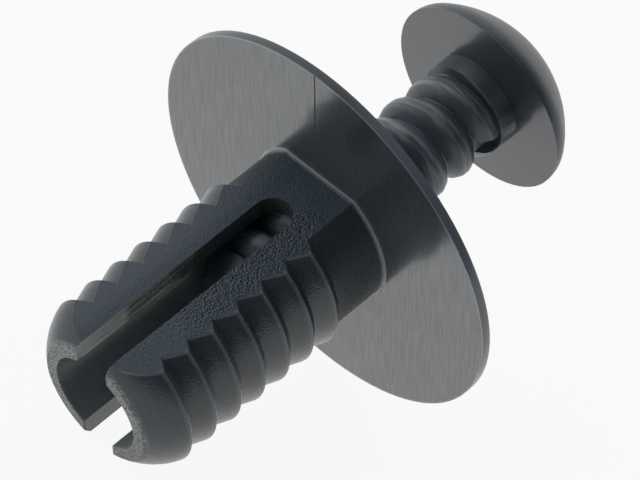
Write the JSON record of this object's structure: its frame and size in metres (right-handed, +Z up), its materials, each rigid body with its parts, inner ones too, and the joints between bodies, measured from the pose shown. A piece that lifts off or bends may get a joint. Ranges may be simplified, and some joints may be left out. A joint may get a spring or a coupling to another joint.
{
  "type": "plastic screw rivet",
  "caption": "Push-in plastic rivet: slotted ribbed legs under a thin wide flange, spread by a coarse-threaded screw with a domed cross-recess head.",
  "frame": {"origin": "on the surface that the loose rivet lies on, under the middle of its box", "axes": "+Z up, +X level, in the plane of the rivet's axis and towards the screw's head; the rivet's axis rises 26.0 degrees towards +X"},
  "size_m": [0.0264, 0.02, 0.0182],
  "materials": {
    "body_plastic": "black moulded plastic, semi-gloss flange, grained flats",
    "screw_plastic": "black moulded plastic, satin, smooth dome"
  },
  "bodies": {
    "body": {"rivet_body": "body_plastic"},
    "screw": {"drive_screw": "screw_plastic"}
  },
  "joints": [
    {"name": "screw_travel", "type": "slide", "parent": "body", "child": "screw", "axis": [0.8986, 0, 0.4388], "range_m": [-0.00938, 0.007]}
  ]
}
